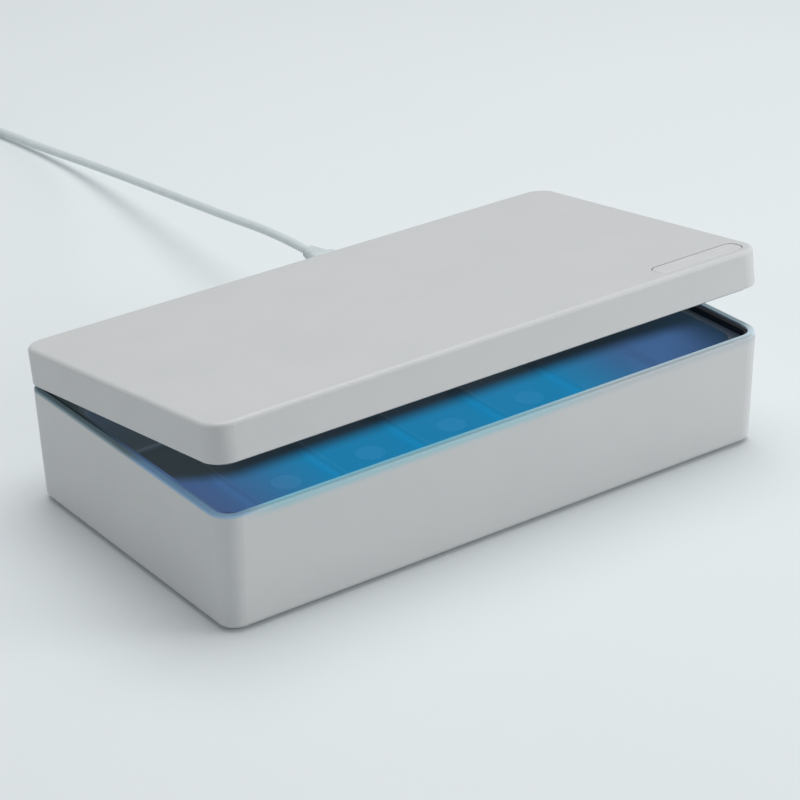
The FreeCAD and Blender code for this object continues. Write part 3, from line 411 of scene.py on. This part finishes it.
lid_head = 1.8 * millimetre
lid_head_height = 1.0 * millimetre
lid_shank = 0.9 * millimetre
lid_length = 6.8 * millimetre
panel_z = 42.8 * millimetre
lid_places = [(x * millimetre, y * millimetre, panel_z) for x, y in (
    (-97, 44), (0, 44), (97, 44), (-97, -50), (-54, -50), (54, -50))]
lid_screws = made_mesh("lid_screws_crossed", [
    opened(cross_screw(place, lid_head, lid_head_height, lid_shank, lid_length))
    for place in lid_places], wrap=(True, False))
zinc_finish.dress(lid_screws)
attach(lid_screws, "lid")
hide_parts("lid_screws")

# Main board and its parts: a green glass-fibre board behind the rear wall, with chips, an inductor,
# can capacitors, nylon wire sockets and the stamped inlet; all of it shut in by the liner's rear ledge.
mask_finish = Finish("solder_mask", (0.012, 0.085, 0.036), 0.36, Coat_Weight=0.3)
traces = mask_finish.node("ShaderNodeTexBrick", {"offset": 0.5}, {
    "Vector": mask_finish.place, "Scale": 260.0, "Mortar Size": 0.03, "Color1": (0, 0, 0, 1),
    "Color2": (0, 0, 0, 1), "Mortar": (1, 1, 1, 1)})
mask_finish.tint(traces, (0.010, 0.075, 0.032), (0.020, 0.135, 0.060))
mask_finish.relief(traces, 0.03 * millimetre)
mask_finish.dress("main_board", "control_board")

moulded_black = Finish("moulded_black", (0.018, 0.018, 0.020), 0.55)
black_grain = moulded_black.noise(2200.0, 2.0)
moulded_black.gloss(0.45, 0.2, black_grain)
moulded_black.relief(black_grain, 0.03 * millimetre)
moulded_black.dress("board_chips", "board_inductor", "hall_sensor", "tact_switch", "switch_plunger",
                    "usb_socket_tongue", "usb_a_tongue")

can_finish = Finish("bare_can", (0.62, 0.63, 0.65), 0.28, Metallic=1.0)
can_marks = can_finish.noise(800.0, 2.0)
can_finish.gloss(0.20, 0.2, can_marks)
can_finish.dress("board_capacitors")

nylon_finish = Finish("natural_nylon", (0.74, 0.72, 0.64), 0.45, Subsurface_Weight=0.1)
nylon_clouds = nylon_finish.noise(500.0, 2.0)
nylon_finish.tint(nylon_clouds, (0.70, 0.68, 0.60), (0.80, 0.78, 0.72))
nylon_finish.dress("board_connectors", "lid_connectors", "hinge_bushes")

status_finish = Finish("status_lamp", (0.60, 0.72, 0.78), 0.25)
status_spots = status_finish.noise(1500.0, 1.0)
status_finish.tint(status_spots, (0.50, 0.64, 0.72), (0.70, 0.80, 0.84))
status_finish.dress("status_led")

# Hinge pins, inlet and magnet: ground steel pins in the knuckles, and nickel-plated stampings.
# The left pin is a tube, so that the lid's wires can turn inside it.
nickel_finish = Finish("nickel", (0.60, 0.60, 0.61), 0.24, Metallic=1.0)
nickel_lines = nickel_finish.noise(1200.0, 3.0)
nickel_finish.gloss(0.16, 0.22, nickel_lines)
nickel_finish.dress("hinge_pin", "hinge_tube", "usb_socket", "plug_shell", "usb_a_shell", "sensor_magnet")

# Wires: stranded copper in red insulation, ending in the boards' nylon sockets.
# They run from the main board to the lower light bar, and through the hollow left hinge pin into the lid.
wire_finish = Finish("red_insulation", (0.42, 0.018, 0.014), 0.42)
wire_clouds = wire_finish.noise(260.0, 2.0)
wire_finish.tint(wire_clouds, (0.36, 0.014, 0.010), (0.50, 0.026, 0.020))
wire_finish.dress("base_led_lead", "base_harness", "lid_harness", "control_lead")

# Lid: a shallow cover in the same satin ABS, closed from below by a smoked panel with a short skirt.
# The panel is screwed to bosses under the lid's roof and carries the upper light bar.
lid_finish = satin_shell("lid_satin")
lid_finish.dress("lid_shell")

panel_finish = smoked_film("panel_film")
# Painted light on the panel: a blue patch along the lamp row, dim painted shade elsewhere.
panel_row = abs(panel_finish.y - lamp_y).ease(0.030, 0.004)
panel_middle = abs(panel_finish.x - glow_middle).ease(0.104, 0.030)
panel_finish.glow(panel_finish.mix(panel_row * panel_middle, shade_middle, (0.010, 0.090, 0.190, 1)))
panel_finish.dress("lid_inner_panel")

# Button bar: a slim insert of the same plastic, polished a little brighter than the lid round it.
# A flange keeps it in its slot, above the plunger of its switch.
button_finish = Finish("button_satin", (0.625, 0.630, 0.632), 0.32, IOR=1.49)
button_clouds = button_finish.noise(120.0, 3.0)
button_grain = button_finish.noise(2600.0, 2.0)
button_finish.tint(button_clouds, (0.600, 0.606, 0.610), (0.650, 0.654, 0.656))
button_finish.gloss(0.26, 0.12, button_clouds)
button_finish.relief(button_grain, 0.015 * millimetre)
button_finish.dress("power_button")

# Lead: a soft pale jacket over its cores, moulded to a plug at each end.
# It leaves the plug straight, sinks to the floor behind the box and ends in a tied coil.
cable_radius = 1.7 * millimetre
route_start = Vector((0.035, 0.1041, 0.0348))
route_steps = (
    (0.0, 21.5, 0.0), (2.0, 61.5, -6.2), (7.0, 104.5, -13.8), (11.4, 149.5, -21.2),
    (14.2, 194.5, -28.0), (12.5, 229.0, -31.4), (9.5, 256.0, -32.1), (4.5, 281.5, -32.1))
route = [route_start] + [route_start + Vector(step) * millimetre for step in route_steps]
coil_outer = 24.4 * millimetre
coil_pitch = 3.9 * millimetre
turns_in, turns_climb, turns_out = 3.0, 0.5, 2.75
turn_total = turns_in + turns_climb + turns_out
inner_turn = turns_in + turns_climb / 2
points_per_turn = 16
heading = route[-1] - route[-2]
coil_start = math.atan2(-heading.x, heading.y)
coil_centre = route[-1] - Vector((math.cos(coil_start), math.sin(coil_start), 0)) * coil_outer
for i in range(1, round(turn_total * points_per_turn) + 1):
    turns = i / points_per_turn
    radius = coil_outer - coil_pitch * (inner_turn - abs(turns - inner_turn))
    climb = min(max((turns - turns_in) / turns_climb, 0.0), 1.0)
    lift = coil_pitch * climb * climb * (3 - 2 * climb)
    angle = coil_start + 2 * math.pi * turns
    outward = radius / math.cos(math.pi / points_per_turn)
    route.append(coil_centre + Vector((outward * math.cos(angle), outward * math.sin(angle), lift)))
end_angle = coil_start + 2 * math.pi * turn_total
end_radius = coil_outer - coil_pitch * (inner_turn - (turn_total - inner_turn))
end_reach = Vector((end_radius * math.cos(end_angle), end_radius * math.sin(end_angle), coil_pitch))
tail_way = Vector((-math.sin(end_angle), math.cos(end_angle), 0))
tail_start = coil_centre + end_reach + tail_way * 2 * cable_radius
tail_steps = ((0.0, 0.0), (14.0, 0.0), (28.0, -2.6), (42.0, -2.6))
route += [tail_start + (tail_way * reach + Vector((0, 0, drop))) * millimetre for reach, drop in tail_steps]

lead_line = bpy.data.curves.new("lead", "CURVE")
lead_line.dimensions = "3D"
lead_line.resolution_u = 6
lead_line.bevel_depth = cable_radius
lead_line.bevel_resolution = 4
lead_line.use_fill_caps = True
spline = lead_line.splines.new("NURBS")
spline.points.add(len(route) - 1)
for control, point in zip(spline.points, route):
    control.co = (*point, 1.0)
spline.order_u = 3
spline.use_endpoint_u = True
lead = bpy.data.objects.new("lead", lead_line)
bpy.context.scene.collection.objects.link(lead)
jacket_finish = Finish("soft_jacket", (0.62, 0.67, 0.68), 0.50)
jacket_clouds = jacket_finish.noise(150.0, 3.0)
jacket_grain = jacket_finish.noise(1600.0, 2.0)
jacket_finish.tint(jacket_clouds, (0.58, 0.64, 0.65), (0.66, 0.71, 0.715))
jacket_finish.gloss(0.42, 0.16, jacket_grain)
jacket_finish.relief(jacket_grain, 0.03 * millimetre)
jacket_finish.dress(lead)
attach(lead, "base")
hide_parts("cable", "cable_coil", "cable_tail")


# Plugs and tie: soft grips moulded over the lead's two ends, each with a ribbed relief.
# A flat rubber band holds the turns of the coil together.
def rings(along, half_wide, half_high):
    """Rounded-rectangle rings along Y: a circle whose quarters are pushed apart to the corners of a core box.

    A ring of no size closes an end.
    """
    turn = (np.arange(64) + 0.5) * math.pi / 32
    corner = np.minimum(2.4 * millimetre, 0.9 * np.minimum(half_wide, half_high))
    wide = np.sign(np.cos(turn)) * (half_wide - corner)[:, None] + np.outer(corner, np.cos(turn))
    high = np.sign(np.sin(turn)) * (half_high - corner)[:, None] + np.outer(corner, np.sin(turn))
    return np.stack([wide, along[:, None] + 0 * wide, high], -1)


relief_length = 9.0
relief_half_wide = 2.8
relief_half_high = 2.2
rib_depth = 0.45
grip_edge = 0.8


def moulded_grip(wide, high, reach, neck_wide, neck_high):
    """Grip, in millimetres, with a quarter circle at each end, then a relief that narrows evenly to the lead.

    Between its ribs the relief dips by a squared-off sine wave of six periods.
    """
    ease = np.linspace(0, math.pi / 2, 8)
    edge = grip_edge * (1 - np.sin(ease))
    step = grip_edge * (1 - np.cos(ease))
    share = np.linspace(0, 1, 97)
    dip = rib_depth * (0.5 - 0.5 * np.tanh(4 * np.sin(12 * math.pi * share + 0.5)))
    end = reach + relief_length
    along = np.concatenate([[0], step, reach - step[::-1], reach + relief_length * share, [end]])
    half_wide = np.concatenate([[0], wide / 2 - edge, wide / 2 - edge[::-1],
                                neck_wide / 2 * (1 - share) + relief_half_wide * share - dip, [0]])
    half_high = np.concatenate([[0], high / 2 - edge, high / 2 - edge[::-1],
                                neck_high / 2 * (1 - share) + relief_half_high * share - dip, [0]])
    return rings(along * millimetre, half_wide * millimetre, half_high * millimetre)


def placed(grid, turn, origin):
    """Turns a grid about Z and moves it from the origin to a point."""
    return grid @ np.array(Matrix.Rotation(turn, 3, "Z")).T + np.array(origin)


near_length = 38.0
near_shape = moulded_grip(wide=11.0, high=7.0, reach=near_length, neck_wide=9.6, neck_high=5.6)
near_place = route_start - Vector((0, (near_length + relief_length) * millimetre, 0))
near_grip = made_mesh("near_grip", [placed(near_shape, 0.0, near_place)], wrap=(False, True))
far_length = 24.0
far_shape = moulded_grip(wide=15.6, high=7.8, reach=far_length, neck_wide=10.8, neck_high=5.4)
far_place = route[-1] + tail_way * (far_length + relief_length) * millimetre
far_turn = math.atan2(tail_way.x, -tail_way.y)
far_grip = made_mesh("far_grip", [placed(far_shape, far_turn, far_place)], wrap=(False, True))
jacket_finish.dress(near_grip, far_grip)
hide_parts("plug_overmould")
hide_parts("usb_a_overmould")


def band(half_out, half_up, wide, thick):
    """Flat band round a rounded rectangle: at each turn a squarish section set along the loop's own normal."""
    turn = (np.arange(72) + 0.5) * math.pi / 36
    corner = 2.5 * millimetre
    normal = np.stack([np.cos(turn), 0 * turn, np.sin(turn)], -1)
    loop = np.sign(normal) * np.array([half_out - corner, 0, half_up - corner]) + corner * normal
    around = np.linspace(0, 2 * math.pi, 24, endpoint=False)
    outward = np.sign(np.cos(around)) * abs(np.cos(around)) ** 0.4 * thick / 2
    sideways = np.sign(np.sin(around)) * abs(np.sin(around)) ** 0.4 * wide / 2
    section = outward[None, :, None] * normal[:, None, :] + sideways[None, :, None] * np.array([0, 1, 0])
    return loop[:, None, :] + section


tie_wide = 4.0 * millimetre
tie_thick = 0.6 * millimetre
tie_gap = 0.4 * millimetre
tie_half_up = 4.34 * millimetre
tie_z = 4.65 * millimetre
tie_turn = math.radians(200.0)
tie_inner = coil_outer - coil_pitch * inner_turn - cable_radius - tie_gap
tie_outer = coil_outer + cable_radius + tie_gap
tie_half_out = (tie_outer - tie_inner + tie_thick) / 2
tie_middle = (tie_inner + tie_outer) / 2
tie_place = (coil_centre.x + tie_middle * math.cos(tie_turn),
             coil_centre.y + tie_middle * math.sin(tie_turn), tie_z)
tie_shape = band(tie_half_out, tie_half_up, tie_wide, tie_thick)
tie = made_mesh("tie", [placed(tie_shape, tie_turn, tie_place)], wrap=(True, True))
tie_finish = Finish("tie_rubber", (0.020, 0.020, 0.022), 0.6)
tie_grain = tie_finish.noise(1300.0, 3.0)
tie_finish.gloss(0.5, 0.25, tie_grain)
tie_finish.relief(tie_grain, 0.05 * millimetre)
tie_finish.dress(tie)
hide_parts("cable_tie")
for piece, slot in ((near_grip, "grip"), (far_grip, "grip"), (tie, "tie")):
    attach(piece, "base")

# Studio: a plain pale floor, with soft light from above, from the front right and a little from the left.
# The camera stands at the photograph's angle, fitted to the corners of the box.
floor_half = 4.0
floor_mesh = bpy.data.meshes.new("floor")
floor_mesh.from_pydata([(-floor_half, -floor_half, 0), (floor_half, -floor_half, 0),
                        (floor_half, floor_half, 0), (-floor_half, floor_half, 0)], [], [(0, 1, 2, 3)])
floor = bpy.data.objects.new("floor", floor_mesh)
bpy.context.scene.collection.objects.link(floor)
floor_finish = Finish("pale_floor", (0.74, 0.78, 0.79), 0.7)
floor_clouds = floor_finish.noise(6.0, 2.0)
floor_finish.tint(floor_clouds, (0.73, 0.77, 0.78), (0.75, 0.79, 0.80))
floor_finish.dress(floor)

world = bpy.data.worlds.new("studio")
bpy.context.scene.world = world
world.use_nodes = True
world.node_tree.nodes["Background"].inputs["Color"].default_value = (0.93, 0.97, 1.0, 1.0)
world.node_tree.nodes["Background"].inputs["Strength"].default_value = 0.36


def soft_box(name, place, aim, size, watts):
    """Square area lamp at a place, facing a point."""
    lamp = bpy.data.lights.new(name, "AREA")
    lamp.size = size
    lamp.energy = watts
    holder = bpy.data.objects.new(name, lamp)
    holder.location = place
    holder.rotation_euler = (Vector(aim) - Vector(place)).to_track_quat("-Z", "Y").to_euler()
    bpy.context.scene.collection.objects.link(holder)


soft_box("overhead", (0.20, 0.15, 1.30), (0.0, 0.0, 0.0), size=1.1, watts=12.3)
soft_box("front_right", (1.3, -1.0, 0.4), (0.0, 0.0, 0.03), size=0.8, watts=12.3)
soft_box("left", (-1.4, 0.2, 0.5), (0.0, 0.0, 0.03), size=0.6, watts=1.5)

view_azimuth, view_elevation, view_roll = math.radians(-34.94), math.radians(26.31), math.radians(-1.50)
view_target = Vector((0.0003, -0.0021, 0.0251))
view_distance = 0.98
camera = bpy.data.cameras.new("camera")
camera.sensor_width = 36.0
camera.lens = 129.6
camera.clip_start = 0.05
camera_holder = bpy.data.objects.new("camera", camera)
back = Vector((math.sin(view_azimuth) * math.cos(view_elevation),
               -math.cos(view_azimuth) * math.cos(view_elevation), math.sin(view_elevation)))
camera_holder.location = view_target + back * view_distance
camera_holder.rotation_mode = "QUATERNION"
facing = (-back).to_track_quat("-Z", "Y").to_matrix() @ Matrix.Rotation(view_roll, 3, "Z")
camera_holder.rotation_quaternion = facing.to_quaternion()
bpy.context.scene.collection.objects.link(camera_holder)
bpy.context.scene.camera = camera_holder
bpy.context.scene.view_settings.view_transform = "Standard"
